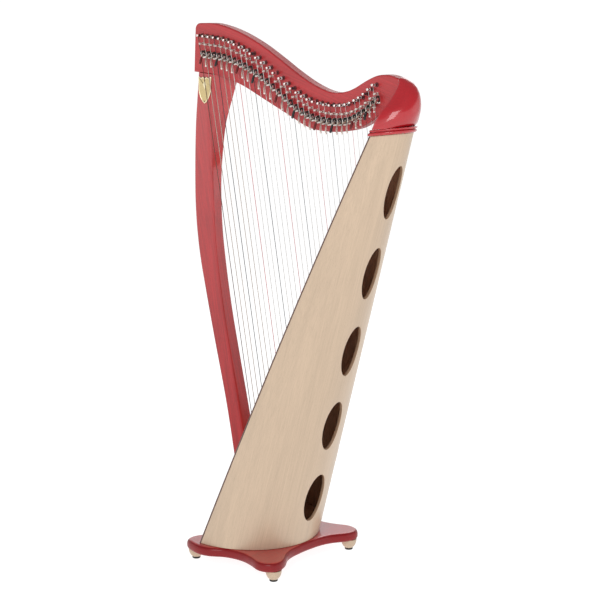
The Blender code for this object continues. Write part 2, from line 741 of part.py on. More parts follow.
make_feet()
make_base_plate()
make_shell()
soundboard_piece = make_soundboard()
bottom_block_piece = make_inner_woodwork()
make_ring_and_cap()
neck_piece = make_neck()
make_pins(neck_piece)
column_piece = make_column()
make_column_bolt((column_piece, soundboard_piece, bottom_block_piece))
make_badge()
make_string_band()
make_brackets()
make_levers()
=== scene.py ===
"""The looks of the lever harp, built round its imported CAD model.

The frame's axes: +Z up, floor at z = 0, +X from the column to the soundbox's back. The strings lie in the
plane y = 0, and the pins' near ends and the levers are on the -Y side. All lengths are metres.
"""

import json
from math import asin, atan2, cos, dist, hypot, pi, radians, sin, sqrt

import bpy
import numpy as np
from mathutils import Matrix, Vector


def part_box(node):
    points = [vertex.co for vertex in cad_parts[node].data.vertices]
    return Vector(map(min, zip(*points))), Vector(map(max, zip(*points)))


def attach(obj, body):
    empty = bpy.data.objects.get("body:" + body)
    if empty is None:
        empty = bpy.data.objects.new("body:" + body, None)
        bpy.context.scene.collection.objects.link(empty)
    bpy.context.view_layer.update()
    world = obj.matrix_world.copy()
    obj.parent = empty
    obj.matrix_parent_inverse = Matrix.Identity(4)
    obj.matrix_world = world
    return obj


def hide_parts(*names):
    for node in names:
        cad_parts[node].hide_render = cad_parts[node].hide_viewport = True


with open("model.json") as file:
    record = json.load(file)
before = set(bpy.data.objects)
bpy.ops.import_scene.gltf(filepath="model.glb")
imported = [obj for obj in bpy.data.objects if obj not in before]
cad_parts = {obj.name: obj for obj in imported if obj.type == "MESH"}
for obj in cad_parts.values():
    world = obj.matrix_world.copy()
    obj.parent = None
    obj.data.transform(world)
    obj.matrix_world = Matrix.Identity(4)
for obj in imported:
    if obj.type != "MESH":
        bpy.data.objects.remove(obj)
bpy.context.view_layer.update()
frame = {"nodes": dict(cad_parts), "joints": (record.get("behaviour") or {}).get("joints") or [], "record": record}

X, Y, Z = Vector((1, 0, 0)), Vector((0, 1, 0)), Vector((0, 0, 1))


# ---- reading the frame
SAME_PLACE = 0.00005


def points_of(node):
    """A CAD node's own points, each once."""
    return sorted({tuple(vertex.co) for vertex in frame["nodes"][node].data.vertices})


def section(node, axis, value):
    """Where a plane across one axis cuts the node's edges."""
    mesh = frame["nodes"][node].data
    found = []
    for edge in mesh.edges:
        a, b = (mesh.vertices[index].co for index in edge.vertices)
        if (a[axis] - value) * (b[axis] - value) < 0:
            found.append(a.lerp(b, (value - a[axis]) / (b[axis] - a[axis])))
    return found


def loop_at(node, axis, value):
    """The closed line of the node's own edges that lies in a plane across one axis, in order."""
    mesh = frame["nodes"][node].data
    links = {}
    for edge in mesh.edges:
        a, b = (tuple(mesh.vertices[index].co) for index in edge.vertices)
        if a != b and max(abs(a[axis] - value), abs(b[axis] - value)) < SAME_PLACE:
            links.setdefault(a, set()).add(b)
            links.setdefault(b, set()).add(a)
    loop = [min(links)]
    while True:
        onward = [point for point in sorted(links[loop[-1]]) if point not in loop]
        if not onward:
            return [Vector(point) for point in loop]
        loop.append(onward[0])


def rings_by_height(node, count):
    """Height and points of each level of a CAD node that has exactly that many points."""
    levels = {}
    for point in points_of(node):
        levels.setdefault(round(point[2], 4), []).append(point)
    return {z: points for z, points in sorted(levels.items()) if len(points) == count}


# ---- curves
def hermite(start, end, leave, arrive, t):
    return (start * (2 * t**3 - 3 * t**2 + 1) + leave * (t**3 - 2 * t**2 + t)
            + end * (3 * t**2 - 2 * t**3) + arrive * (t**3 - t**2))


def tangent(before, after, span):
    """The direction at a knot, from the sides before and after it, for a piece of that span."""
    return (before + after) * span / (before.length + after.length)


def smooth_line(points, steps):
    """A rounded line through the given points, with steps pieces between neighbours."""
    knots = [Vector(p) for p in points]
    ends = [2 * knots[0] - knots[1]] + knots + [2 * knots[-1] - knots[-2]]
    line = []
    for before, start, end, after in zip(ends, ends[1:], ends[2:], ends[3:]):
        side = end - start
        leave = tangent(start - before, side, side.length)
        arrive = tangent(side, after - end, side.length)
        line += [hermite(start, end, leave, arrive, step / steps) for step in range(steps)]
    return line + [knots[-1]]


def read_curve(points, at):
    """Values of a rounded curve at one place. Each point is (place, value, value, ...)."""
    line = smooth_line(points, steps=8)
    places = [p[0] for p in line]
    return [float(np.interp(at, places, [p[i] for p in line])) for i in range(1, len(points[0]))]


SHARP_CORNER = radians(28)
REFINE_STEPS = 3


def refine(loop):
    """A closed line with rounded pieces between its points. Sharp corners stay."""
    size = len(loop)
    sides = [(loop[(i + 1) % size] - loop[i]) for i in range(size)]
    corner = [sides[i - 1].angle(sides[i]) > SHARP_CORNER for i in range(size)]
    line = []
    for i in range(size):
        j = (i + 1) % size
        side = sides[i]
        leave = side if corner[i] else tangent(sides[i - 1], side, side.length)
        arrive = side if corner[j] else tangent(side, sides[j], side.length)
        line += [hermite(loop[i], loop[j], leave, arrive, step / REFINE_STEPS)
                 for step in range(REFINE_STEPS)]
    return line


def inset(outline, distance):
    """A closed outline of (a, b) pairs moved inwards. It runs counter-clockwise."""
    moved = []
    for before, here, after in zip(outline[-1:] + outline[:-1], outline, outline[1:] + outline[:1]):
        first = (Vector(here) - Vector(before)).normalized()
        second = (Vector(after) - Vector(here)).normalized()
        along = (first + second).normalized()
        reach = distance / max(0.5, along.dot(first))
        moved.append((here[0] - along[1] * reach, here[1] + along[0] * reach))
    return moved


def counter_clockwise(outline):
    area = sum(a[0] * b[1] - b[0] * a[1] for a, b in zip(outline, outline[1:] + outline[:1]))
    return outline if area > 0 else outline[::-1]


def round_corners(corners, radius, steps=4):
    """A polygon of Vectors with each corner turned into a short curve."""
    line = []
    for before, here, after in zip(corners[-1:] + corners[:-1], corners, corners[1:] + corners[:1]):
        back, onward = before - here, after - here
        reach = min(radius, 0.45 * back.length, 0.45 * onward.length)
        start, end = here + back.normalized() * reach, here + onward.normalized() * reach
        for step in range(steps + 1):
            t = step / steps
            line.append(start * (1 - t) ** 2 + here * 2 * t * (1 - t) + end * t**2)
    return line


def edge_profile(thickness, radius, steps):
    """(depth, inset) pairs across a plate whose two long edges are rounded."""
    turn = [radians(90 * step / steps) for step in range(steps + 1)]
    front = [(radius * (1 - sin(a)), radius * (1 - cos(a))) for a in reversed(turn)]
    return front + [(thickness - depth, side) for depth, side in reversed(front)]


# ---- meshes
def signed_volume(vertices, faces):
    total = 0.0
    for face in faces:
        first = vertices[face[0]]
        for second, third in zip(face[1:], face[2:]):
            total += first.dot(vertices[second].cross(vertices[third]))
    return total


def loft(rings):
    """Vertices and outward faces of a closed body through rings of equally many points."""
    size = len(rings[0])
    vertices = [Vector(point) for ring in rings for point in ring]
    faces = []
    for level in range(len(rings) - 1):
        low, high = level * size, (level + 1) * size
        faces += [(low + i, low + (i + 1) % size, high + (i + 1) % size, high + i) for i in range(size)]
    faces += [tuple(reversed(range(size))), tuple(range((len(rings) - 1) * size, len(rings) * size))]
    if signed_volume(vertices, faces) < 0:
        faces = [tuple(reversed(face)) for face in faces]
    return vertices, faces


def joined(parts):
    """Several (vertices, faces) bodies as one."""
    vertices, faces = [], []
    for more_vertices, more_faces in parts:
        faces += [tuple(index + len(vertices) for index in face) for face in more_faces]
        vertices += more_vertices
    return vertices, faces


def placed(body, matrix):
    vertices, faces = body
    return [matrix @ vertex for vertex in vertices], faces


def make_mesh(name, bodies, sharp_degrees=35):
    """A smooth mesh of (body, material) pairs, with its sharp edges kept."""
    mesh = bpy.data.meshes.new(name)
    vertices, faces = joined([body for body, _ in bodies])
    mesh.from_pydata([tuple(v) for v in vertices], [], faces)
    for _, look in bodies:
        mesh.materials.append(look)
    indices = [number for number, (body, _) in enumerate(bodies) for _ in body[1]]
    mesh.polygons.foreach_set("material_index", indices)
    mesh.validate()
    mesh.shade_smooth()
    mesh.set_sharp_from_angle(angle=radians(sharp_degrees))
    return mesh


def put(name, data):
    """A new object in the scene."""
    thing = bpy.data.objects.new(name, data)
    bpy.context.scene.collection.objects.link(thing)
    return thing


def weigh_normals(piece):
    """Keeps flat faces flat beside their rounded edges."""
    piece.modifiers.new("flat faces", "WEIGHTED_NORMAL").keep_sharp = True


def add_piece(name, mesh, node):
    """A piece that rides on the harp's body and takes a CAD node's place."""
    piece = put(name, mesh)
    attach(piece, "harp")
    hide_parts(node)
    return piece


def make_piece(name, bodies, node, sharp_degrees=35):
    """A piece from (body, material) pairs, with its flat faces kept flat."""
    piece = add_piece(name, make_mesh(name, bodies, sharp_degrees), node)
    weigh_normals(piece)
    return piece


def dress_edges(piece, look, axis, limit):
    """Gives another material to the faces that lean away from an axis."""
    piece.data.materials.append(look)
    for face in piece.data.polygons:
        face.material_index = int(abs(face.normal[axis]) < limit)


def circle(centre, radius, sides, first, second):
    angles = [2 * pi * i / sides for i in range(sides)]
    return [centre + radius * (cos(a) * first + sin(a) * second) for a in angles]


def lathe(profile, sides, axis, origin=Vector((0, 0, 0))):
    """A turned body: profile holds (radius, place along the axis)."""
    first = axis.orthogonal().normalized()
    second = axis.cross(first)
    return loft([circle(origin + place * axis, radius, sides, first, second) for radius, place in profile])


def tube(path, radii, sides, squash=1.0):
    """A body along a path. radii holds one radius for each point, and squash flattens it sideways."""
    rings = []
    across = None
    for i, point in enumerate(path):
        along = (path[min(i + 1, len(path) - 1)] - path[max(i - 1, 0)]).normalized()
        across = along.orthogonal() if across is None else across - along * across.dot(along)
        across.normalize()
        rings.append(circle(point, radii[i], sides, across, along.cross(across) * squash))
    return loft(rings)


def plate(outline, depths, place):
    """A plate from an outline: depths holds (depth, inset), and place(a, b, depth) gives the point."""
    outline = counter_clockwise(outline)
    return loft([[place(a, b, depth) for a, b in inset(outline, side)] for depth, side in depths])


# ---- materials
def feed(made, socket, source):
    """Links an output to an input, or gives the input a plain value."""
    if isinstance(source, bpy.types.NodeSocket):
        made.node_tree.links.new(source, socket)
    else:
        socket.default_value = source


def add_node(made, kind, inputs=(), **settings):
    """A node with its settings, and the values or outputs that its inputs take."""
    node = made.node_tree.nodes.new(kind)
    for name, value in settings.items():
        setattr(node, name, value)
    for name, source in dict(inputs).items():
        feed(made, node.inputs[name], source)
    return node


def shader_of(name, colour, roughness, **settings):
    """A new material and its Principled shader, with plain values on the shader's own sockets."""
    made = bpy.data.materials.new(name)
    made.use_nodes = True
    shader = made.node_tree.nodes["Principled BSDF"]
    shader.inputs["Base Color"].default_value = (*colour, 1)
    shader.inputs["Roughness"].default_value = roughness
    for socket, value in settings.items():
        shader.inputs[socket.replace("_", " ")].default_value = value
    return made, shader


def own_place(made):
    """A point's place in its piece's own axes, in metres."""
    return add_node(made, "ShaderNodeTexCoord").outputs["Object"]


def own_axis(made, axis):
    """A point's own X, Y or Z."""
    return add_node(made, "ShaderNodeSeparateXYZ", {"Vector": own_place(made)}).outputs[axis]


def noise(made, size, detail, along=Z, distortion=0.0):
    """A noise texture whose features have that size in metres, the last one along a direction."""
    turn = Z.rotation_difference(Vector(along)).to_euler()
    place = add_node(made, "ShaderNodeMapping", {"Vector": own_place(made), "Rotation": turn, "Scale": size},
                     vector_type="TEXTURE")
    texture = add_node(made, "ShaderNodeTexNoise", {"Vector": place.outputs["Vector"], "Scale": 1.0,
                                                    "Detail": detail, "Distortion": distortion})
    return texture.outputs["Fac"]


def ramp(made, source, stops):
    """A colour ramp: stops holds (place, colour)."""
    node = add_node(made, "ShaderNodeValToRGB", {"Fac": source})
    elements = node.color_ramp.elements
    while len(elements) < len(stops):
        elements.new(0.5)
    for element, (place, colour) in zip(elements, stops):
        element.position = place
        element.color = (*colour, 1)
    return node.outputs["Color"]


def multiply(made, first, second):
    return add_node(made, "ShaderNodeMix", {"Factor": 1.0, "A": first, "B": second}, data_type="RGBA",
                    blend_type="MULTIPLY").outputs["Result"]


def tint(made, tones):
    """Multiplies a material's colour by other tones."""
    socket = made.node_tree.nodes["Principled BSDF"].inputs["Base Color"]
    feed(made, socket, multiply(made, socket.links[0].from_socket, tones))


def finish(made, shader, colour, marks, roughness, relief, strength, depth):
    """Gives a shader its colours, a roughness that follows its marks, and a fine relief."""
    spread = add_node(made, "ShaderNodeMapRange", {"Value": marks, "To Min": roughness[0],
                                                   "To Max": roughness[1]})
    bump = add_node(made, "ShaderNodeBump", {"Height": relief, "Strength": strength, "Distance": depth})
    feed(made, shader.inputs["Base Color"], colour)
    feed(made, shader.inputs["Roughness"], spread.outputs["Result"])
    feed(made, shader.inputs["Normal"], bump.outputs["Normal"])
    return made


def scaled(colour, factor):
    return tuple(min(1.0, channel * factor) for channel in colour)


def even(value):
    """A grey, or a size that is the same all ways."""
    return (value,) * 3


def wood(name, colour, roughness, along=Z, streak=(0.0022, 0.0022, 0.09), contrast=0.12, figure=0.06,
         **settings):
    """Lacquered wood: fine streaks and pores along the grain, and a slow change of tone."""
    made, shader = shader_of(name, colour, roughness, **settings)
    streaks = noise(made, streak, 6.0, along, distortion=0.3)
    slow = noise(made, [12 * streak[0], 12 * streak[1], 3 * streak[2]], 2.0, along)
    pores = noise(made, (0.0005, 0.0005, 0.010), 2.0, along)
    fine = ramp(made, streaks, ((0.25, scaled(colour, 1 - contrast)), (0.55, colour),
                                (0.80, scaled(colour, 1 + 0.6 * contrast))))
    tone = ramp(made, slow, ((0.3, even(1 - figure)), (0.7, even(1.0))))
    speck = ramp(made, pores, ((0.28, even(1 - 1.5 * contrast)), (0.42, even(1.0))))
    return finish(made, shader, multiply(made, multiply(made, fine, tone), speck),
                  streaks, (roughness - 0.04, roughness + 0.06), pores, 0.12, 0.0002)


def layered_wood(name, colour, roughness, thickness, **settings):
    """Wood glued up from layers across Y, which show where its edges are cut."""
    made = wood(name, colour, roughness, **settings)
    layer = add_node(made, "ShaderNodeMath", operation="DIVIDE")
    feed(made, layer.inputs[0], own_axis(made, "Y"))
    feed(made, layer.inputs[1], thickness)
    whole, part = (add_node(made, "ShaderNodeMath", {"Value": layer.outputs["Value"]}, operation=kind)
                   for kind in ("FLOOR", "FRACT"))
    chance = add_node(made, "ShaderNodeTexWhiteNoise", {"W": whole.outputs["Value"]}, noise_dimensions="1D")
    tint(made, ramp(made, chance.outputs["Value"], ((0.0, (0.80, 0.84, 0.86)), (1.0, even(1.0)))))
    tint(made, ramp(made, part.outputs["Value"], ((0.0, (0.55, 0.62, 0.66)), (0.09, even(1.0)))))
    return made


def painted_light_by_height(made, foot, head):
    """Painted light by height: a coat that thins out, so a painted sheen that fades, over a tone that deepens into
    a painted shade, from a head down to a foot.
    """
    height = add_node(made, "ShaderNodeMapRange", {"Value": own_axis(made, "Z"), "From Min": foot,
                                                   "From Max": head}).outputs["Result"]
    # The coat's weight rises with the height: a painted sheen, strongest at the head.
    feed(made, made.node_tree.nodes["Principled BSDF"].inputs["Coat Weight"], height)
    # The tone darkens towards the foot: a painted shade.
    tint(made, ramp(made, height, ((0.0, even(0.78)), (1.0, even(1.0)))))
    return made


def metal(name, colour, roughness):
    """Plated or polished metal with faint scratches and handling marks."""
    made, shader = shader_of(name, colour, roughness, Metallic=1.0)
    marks = noise(made, even(0.004), 5.0)
    scratches = noise(made, (0.0004, 0.0004, 0.004), 2.0)
    return finish(made, shader, ramp(made, marks, ((0.3, scaled(colour, 0.86)), (0.6, colour))),
                  marks, (roughness - 0.05, roughness + 0.10), scratches, 0.06, 0.0001)


def dull(name, colour, roughness, grain=0.0006, bump=0.3):
    """Moulded or blackened material: an even grain and slight dust."""
    made, shader = shader_of(name, colour, roughness)
    marks = noise(made, even(0.006), 4.0)
    return finish(made, shader, ramp(made, marks, ((0.3, scaled(colour, 0.8)), (0.7, scaled(colour, 1.25)))),
                  marks, (roughness - 0.05, roughness + 0.08), noise(made, even(grain), 2.0), bump, 0.0001)


def wound(name, colour):
    """A string wound with fine wire."""
    made, shader = shader_of(name, colour, WOUND_ROUGHNESS, Metallic=0.8)
    wave = add_node(made, "ShaderNodeTexWave", {"Vector": own_place(made),
                                                "Scale": pi / 10 / WINDING_PITCH}, bands_direction="Z")
    turns = wave.outputs["Fac"]
    return finish(made, shader, ramp(made, turns, ((0.0, scaled(colour, 0.45)), (0.6, colour))),
                  turns, (WOUND_ROUGHNESS, WOUND_ROUGHNESS), turns, 0.6, 0.0002)


WOUND_ROUGHNESS = 0.32
WINDING_PITCH = 0.0006
LAYER = 0.0080               # thickness of the neck's layers
RED = (0.50, 0.026, 0.030)
LACQUER = {"Coat_Weight": 0.30, "Coat_Roughness": 0.16}
MAPLE = (0.585, 0.440, 0.312)

ALONG_BOX = (0.42, 0, 1)     # about the soundboard's slope
red_neck = layered_wood("red_neck", scaled(RED, 1.12), 0.40, LAYER, along=(1, 0, -0.3), contrast=0.24,
                        figure=0.14, streak=(0.0030, 0.0030, 0.16), **LACQUER)
red_neck_edge = layered_wood("red_neck_edge", scaled(RED, 0.92), 0.46, LAYER, along=X, contrast=0.26,
                             figure=0.10)
# The column gets painted light by height: darker, and with less sheen, towards its foot.
red_column = painted_light_by_height(wood("red_column", scaled(RED, 1.06), 0.40, along=(-0.2, 0, 1), figure=0.20,
                             streak=(0.0034, 0.0034, 0.20), contrast=0.30, Specular_IOR_Level=0.2,
                             Coat_Roughness=0.16, Coat_IOR=1.7), foot=0.10, head=1.15)
red_cap = wood("red_cap", (0.46, 0.010, 0.018), 0.34, along=X, figure=0.08, Specular_IOR_Level=0.3,
               Coat_Weight=1.0, Coat_Roughness=0.10)
red_base = wood("red_base", (0.50, 0.010, 0.013), 0.30, along=Y, contrast=0.20, figure=0.12,
                Coat_Weight=0.9, Coat_Roughness=0.12, Coat_IOR=1.62)
# A darker red for the base plate's side faces: a painted shade on its edges.
red_base_shaded_edge = wood("red_base_shaded_edge", (0.26, 0.008, 0.011), 0.40, along=Y, contrast=0.20, figure=0.12,
                     Specular_IOR_Level=0.2, Coat_Weight=0.25, Coat_Roughness=0.12)
maple_box = wood("maple_box", MAPLE, 0.40, along=(0.30, 0, 1), streak=(0.0020, 0.0020, 0.17), contrast=0.11,
                 figure=0.08, Coat_Weight=0.20, Coat_Roughness=0.25)
maple_foot = wood("maple_foot", scaled(MAPLE, 0.96), 0.40)
bare_rim = wood("bare_rim", (0.40, 0.25, 0.155), 0.5, along=(0.30, 0, 1), contrast=0.25)
inside_wood = wood("inside_wood", (0.64, 0.38, 0.26), 0.6, along=ALONG_BOX, contrast=0.3)
spruce = wood("spruce", (0.66, 0.47, 0.28), 0.42, along=Y, streak=(0.0011, 0.0011, 0.35), contrast=0.2,
              figure=0.08, Coat_Weight=0.25, Coat_Roughness=0.2)
binding = wood("binding", (0.135, 0.075, 0.062), 0.4, along=ALONG_BOX, contrast=0.25)
strip_wood = wood("strip_wood", scaled(MAPLE, 0.72), 0.4, along=ALONG_BOX, contrast=0.2)
nickel = metal("nickel", (0.82, 0.76, 0.73), 0.26)
dull_nickel = metal("dull_nickel", (0.60, 0.52, 0.48), 0.36)
lever_steel = metal("lever_steel", (0.70, 0.64, 0.56), 0.28)
# Dark reddish metal for the tuning pins' shanks: a painted reflection of the dark red neck.
steel_painted_red_reflection = metal("steel_painted_red_reflection", (0.24, 0.11, 0.10), 0.36)
brass = metal("brass", (0.80, 0.58, 0.30), 0.24)
gold = metal("gold", (0.70, 0.56, 0.29), 0.42)
gold_edge = metal("gold_edge", (0.93, 0.82, 0.55), 0.30)
# Dark red for the ring round each tuning pin's root: a painted shadow where the pin enters the neck.
pin_shadow_red = dull("pin_shadow_red", (0.095, 0.012, 0.014), 0.42)
black_body = dull("black_body", (0.026, 0.032, 0.030), 0.34)
red_sleeve = dull("red_sleeve", (0.13, 0.012, 0.012), 0.42)
black_sleeve = dull("black_sleeve", (0.018, 0.020, 0.020), 0.42)
pale_tip = dull("pale_tip", (0.74, 0.66, 0.62), 0.38, bump=0.1)
nail_black = dull("nail_black", (0.020, 0.016, 0.012), 0.40)
rubber = dull("rubber", (0.016, 0.016, 0.016), 0.70, grain=0.0009, bump=0.5)
clear_nylon = dull("clear_nylon", (0.54, 0.53, 0.52), 0.28, bump=0.05)
red_nylon = dull("red_nylon", (0.48, 0.12, 0.13), 0.30, bump=0.05)
black_nylon = dull("black_nylon", (0.020, 0.020, 0.026), 0.30, bump=0.05)
wound_wire = wound("wound_wire", (0.50, 0.42, 0.36))
dark_wire = wound("dark_wire", (0.13, 0.065, 0.050))


# ---- soundbox
shell_low, shell_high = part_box("soundbox_shell")
board_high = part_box("soundboard")[1]
FOOT_Z, BOX_TOP = shell_low.z, board_high.z
TOP_TILT = (shell_high.z - board_high.z) / (shell_high.x - board_high.x)
WALL = 0.0085
BOX_HEIGHTS = np.linspace(FOOT_Z + 0.001, BOX_TOP - 0.003, 7)


def fitted(values, degree):
    """The curve through values measured at the soundbox's heights."""
    return np.poly1d(np.polyfit(BOX_HEIGHTS, values, degree))


board_cuts = [section("soundboard", 2, z) for z in BOX_HEIGHTS]
board_front = fitted([min(p.x for p in cut) for cut in board_cuts], 1)
board_back = fitted([max(p.x for p in cut) for cut in board_cuts], 1)
BOARD_SLOPE = float(board_front.coefficients[0])
half_width = fitted([max(p.y for p in cut) for cut in board_cuts], 2)


def shell_depth(z):
    """How far the shell's back stands behind the soundboard at a height, if it is half an ellipse."""
    reaches = []
    for point in section("soundbox_shell", 2, z):
        part = abs(point.y) / half_width(z)
        if part < 0.85:
            reaches.append((point.x - board_back(z)) / sqrt(1 - part**2))
    return max(reaches)


depth = fitted([shell_depth(z) for z in BOX_HEIGHTS], 2)


def slant(x):
    """Height of the soundbox's sloping top edge."""
    return BOX_TOP + TOP_TILT * (x - board_back(BOX_TOP))


def around(z, angle, inside=0.0):
    """A point of the shell at a height, or inside its surface. Angle 0 is the middle of the back."""
    x = board_back(z) + (depth(z) - inside) * cos(angle)
    return Vector((x, (half_width(z) - inside) * sin(angle), z))


def on_slant(angle, inside=0.0):
    """A point of the shell's top edge."""
    z = BOX_TOP
    for _ in range(6):
        z = slant(around(z, angle, inside).x)
    return around(z, angle, inside)


def shell_point(part, angle, inside):
    """A point of the shell, part of the way from its foot (0) to its sloping top (1)."""
    top = on_slant(angle, inside).z
    return around(FOOT_Z + part * (top - FOOT_Z), angle, inside)


HOLE_HALF_LENGTH = 0.068
HOLE_FILL = 0.6              # share of a soundhole's width that its opening box takes
holes = []
for opening in frame["record"]["physics"]["openings"]:
    if opening["name"].startswith("soundhole"):
        low, high = opening["box_m"]
        holes.append(((low[2] + high[2]) / 2, high[1] / HOLE_FILL))


def hole_point(hole, turn, inside):
    """Height part and angle on the shell of a point on a soundhole's edge."""
    z, width = hole
    centre = around(z, 0)
    along = (around(z + 0.005, 0) - around(z - 0.005, 0)).normalized()
    reach, side = HOLE_HALF_LENGTH * cos(turn), width * sin(turn)
    height = z + reach * along.z
    for _ in range(8):
        angle = asin(side / (half_width(height) - inside))
        height += (reach - (around(height, angle, inside) - centre).dot(along)) * along.z
    top = on_slant(angle, inside).z
    return (height - FOOT_Z) / (top - FOOT_Z), angle


def height_part(z):
    """How far up the middle of the shell's back a height is, from 0 to 1."""
    return (z - FOOT_Z) / (on_slant(0).z - FOOT_Z)


def make_shell():
    """The bent back of the soundbox: a fine grid with a ring of cells round each soundhole."""
    zone_half, patch_angle = 0.082, radians(38)      # half a hole's zone, in parts and as an angle
    wide, tall, inward, side_steps = 20, 16, 5, 14
    names, order, faces = {}, [], []

    def point(key):
        if key not in names:
            names[key] = len(order)
            order.append(key)
        return names[key]

    def grid(part, angle):
        return point(("grid", round(part, 6), round(angle, 6)))

    def cells(parts, angles):
        for low, high in zip(parts, parts[1:]):
            for left, right in zip(angles, angles[1:]):
                faces.append((grid(low, left), grid(low, right), grid(high, right), grid(high, left)))

    middle = np.linspace(-patch_angle, patch_angle, wide + 1)
    sides = [np.linspace(-pi / 2, -patch_angle, side_steps + 1),
             np.linspace(patch_angle, pi / 2, side_steps + 1)]
    parts = [0.0]
    for number, hole in enumerate(holes):
        centre = height_part(hole[0])
        zone = np.linspace(centre - zone_half, centre + zone_half, tall + 1)
        cells(np.linspace(parts[-1], zone[0], 4), middle)
        for side in sides:
            cells(np.concatenate((np.linspace(parts[-1], zone[0], 4), zone[1:])), side)
        border = [(zone[0], angle) for angle in middle[:-1]]
        border += [(part, patch_angle) for part in zone[:-1]]
        border += [(zone[-1], angle) for angle in middle[:0:-1]]
        border += [(part, -patch_angle) for part in zone[:0:-1]]
        for here, there in zip(border, border[1:] + border[:1]):
            for step in range(inward):
                corners = ((here, step), (here, step + 1), (there, step + 1), (there, step))
                faces.append(tuple(grid(*place) if ring == inward else point(("hole", number, place, ring))
                                   for place, ring in corners))
        parts.append(zone[-1])
    last = np.linspace(parts[-1], 1.0, 4)
    cells(last, middle)
    for side in sides:
        cells(last, side)

    def place_of(key, inside):
        if key[0] == "grid":
            return shell_point(key[1], key[2], inside)
        _, number, (part, angle), ring = key
        z, width = holes[number]
        height = (part - height_part(z)) * (on_slant(0).z - FOOT_Z)
        turn = atan2(sin(angle) * half_width(z) / width, height / HOLE_HALF_LENGTH)
        edge_part, edge_angle = hole_point(holes[number], turn, inside)
        share = (ring / inward) ** 1.3
        part, angle = edge_part + (part - edge_part) * share, edge_angle + (angle - edge_angle) * share
        return shell_point(part, angle, inside)

    outer = [place_of(key, 0.0) for key in order]
    inner = [place_of(key, WALL) for key in order]
    count = len(order)
    used = {}
    for face in faces:
        for a, b in zip(face, face[1:] + face[:1]):
            used.setdefault(frozenset((a, b)), []).append((a, b))
    rim = [(b, a, a + count, b + count) for (a, b), *more in used.values() if not more]
    skin = [tuple(index + count for index in reversed(face)) for face in faces]
    groups = [faces, skin, rim]
    if signed_volume(outer + inner, faces + skin + rim) < 0:
        groups = [[tuple(reversed(face)) for face in group] for group in groups]

    mesh = bpy.data.meshes.new("bent_shell")
    mesh.from_pydata([tuple(v) for v in outer + inner], [], sum(groups, []))
    for look in (maple_box, inside_wood, bare_rim):
        mesh.materials.append(look)
    kinds = [kind for kind, group in enumerate(groups) for _ in group]
    mesh.polygons.foreach_set("material_index", kinds)
    mesh.shade_smooth()
    mesh.set_sharp_from_angle(angle=radians(40))
    piece = add_piece("bent_shell", mesh, "soundbox_shell")
    bevel = piece.modifiers.new("eased edges", "BEVEL")
    bevel.width = 0.0011
    bevel.segments = 3
    bevel.limit_method = "ANGLE"
    bevel.angle_limit = radians(40)
    bevel.harden_normals = True


def board_body(low, high, sides, depths, levels, radius):
    """A strip along the soundboard. Its sides and depths are pairs of functions of the height."""
    rings = []
    for z in np.linspace(low, high, levels):
        lift = (z - low) / (high - low) * TOP_TILT
        left, right = (side(z) for side in sides)
        front, back = (face(z) for face in depths)
        corners = [Vector((x, y, z + lift * (x - board_back(z))))
                   for x, y in ((front, left), (back, left), (back, right), (front, right))]
        rings.append(round_corners(corners, radius, steps=3))
    return loft(rings)


def make_soundboard():
    """Spruce panel with a dark strip let in along both long edges."""
    edge, gap, levels = 0.0045, 0.0001, 25
    depths = (board_front, board_back)
    panel = board_body(FOOT_Z, BOX_TOP, (edge - half_width, half_width - edge), depths, levels, 0.0003)
    strips = [board_body(FOOT_Z, BOX_TOP, (side * (half_width - edge + gap), side * half_width), depths,
                         levels, 0.0009) for side in (-1, 1)]
    make_piece("spruce_board", [(panel, spruce), (joined(strips), binding)], "soundboard")


# ---- ring and cap
RING_FRONT_STAND = 0.0015    # the ring stands out less on the strings' side


def half_turn(sides):
    """Angles from one side of the harp, round its back, to the other side."""
    return [pi * (i / sides - 0.5) for i in range(sides + 1)]


def shoulder_outline(stand, shift):
    """The soundbox's top outline moved outwards and back, with rounded front corners, at height 0."""
    arc = [on_slant(angle, -stand) for angle in half_turn(40)]
    front, half = board_front(BOX_TOP) - min(stand, RING_FRONT_STAND), half_width(BOX_TOP) + stand
    corners = [Vector((front, -half, 0)), Vector((front, half, 0))]
    outline = [Vector((p.x, p.y, 0)) for p in arc]
    near = round_corners([outline[0], corners[0], corners[1]], 0.004)[5:10]
    far = round_corners([corners[0], corners[1], outline[-1]], 0.004)[5:10]
    return [p + shift * X for p in (*near, *outline, *reversed(far))]


def make_ring():
    """Two beads with a groove between them, round the top of the soundbox."""
    gap, height, groove = 0.0003, 0.0142, 0.0012
    profile = []
    for start, end, stand in ((0.0, 0.54, 0.0062), (0.62, 1.0, 0.0046)):
        for step in range(9):
            turn = pi * step / 8
            rise = height * (start + (end - start) * (1 - cos(turn)) / 2)
            profile.append((rise, groove + (stand - groove) * sin(turn) ** 0.7))
    rings = []
    for rise, stand in profile:
        outline = shoulder_outline(stand, BOARD_SLOPE * rise)
        rings.append([Vector((p.x, p.y, gap + rise + slant(p.x))) for p in outline])
    make_piece("bead_ring", [(loft(rings), red_cap)], "shoulder_ring")


def cap_levels():
    """Height, front, near side, far side and rear of the CAD cap's levels, from the bottom up."""
    levels = []
    rings = rings_by_height("shoulder_cap", 17)
    lowest = min(rings)
    foot = [p for p in points_of("shoulder_cap") if p[2] < lowest - 0.0005]
    for z, points in [(min(p[2] for p in foot), foot), *rings.items()]:
        xs, ys = [p[0] for p in points], [p[1] for p in points]
        levels.append((z, min(xs), min(ys), max(ys), max(xs)))
    return levels


CAP_CORNER = 0.001575        # how far the cap's front corners are drawn in


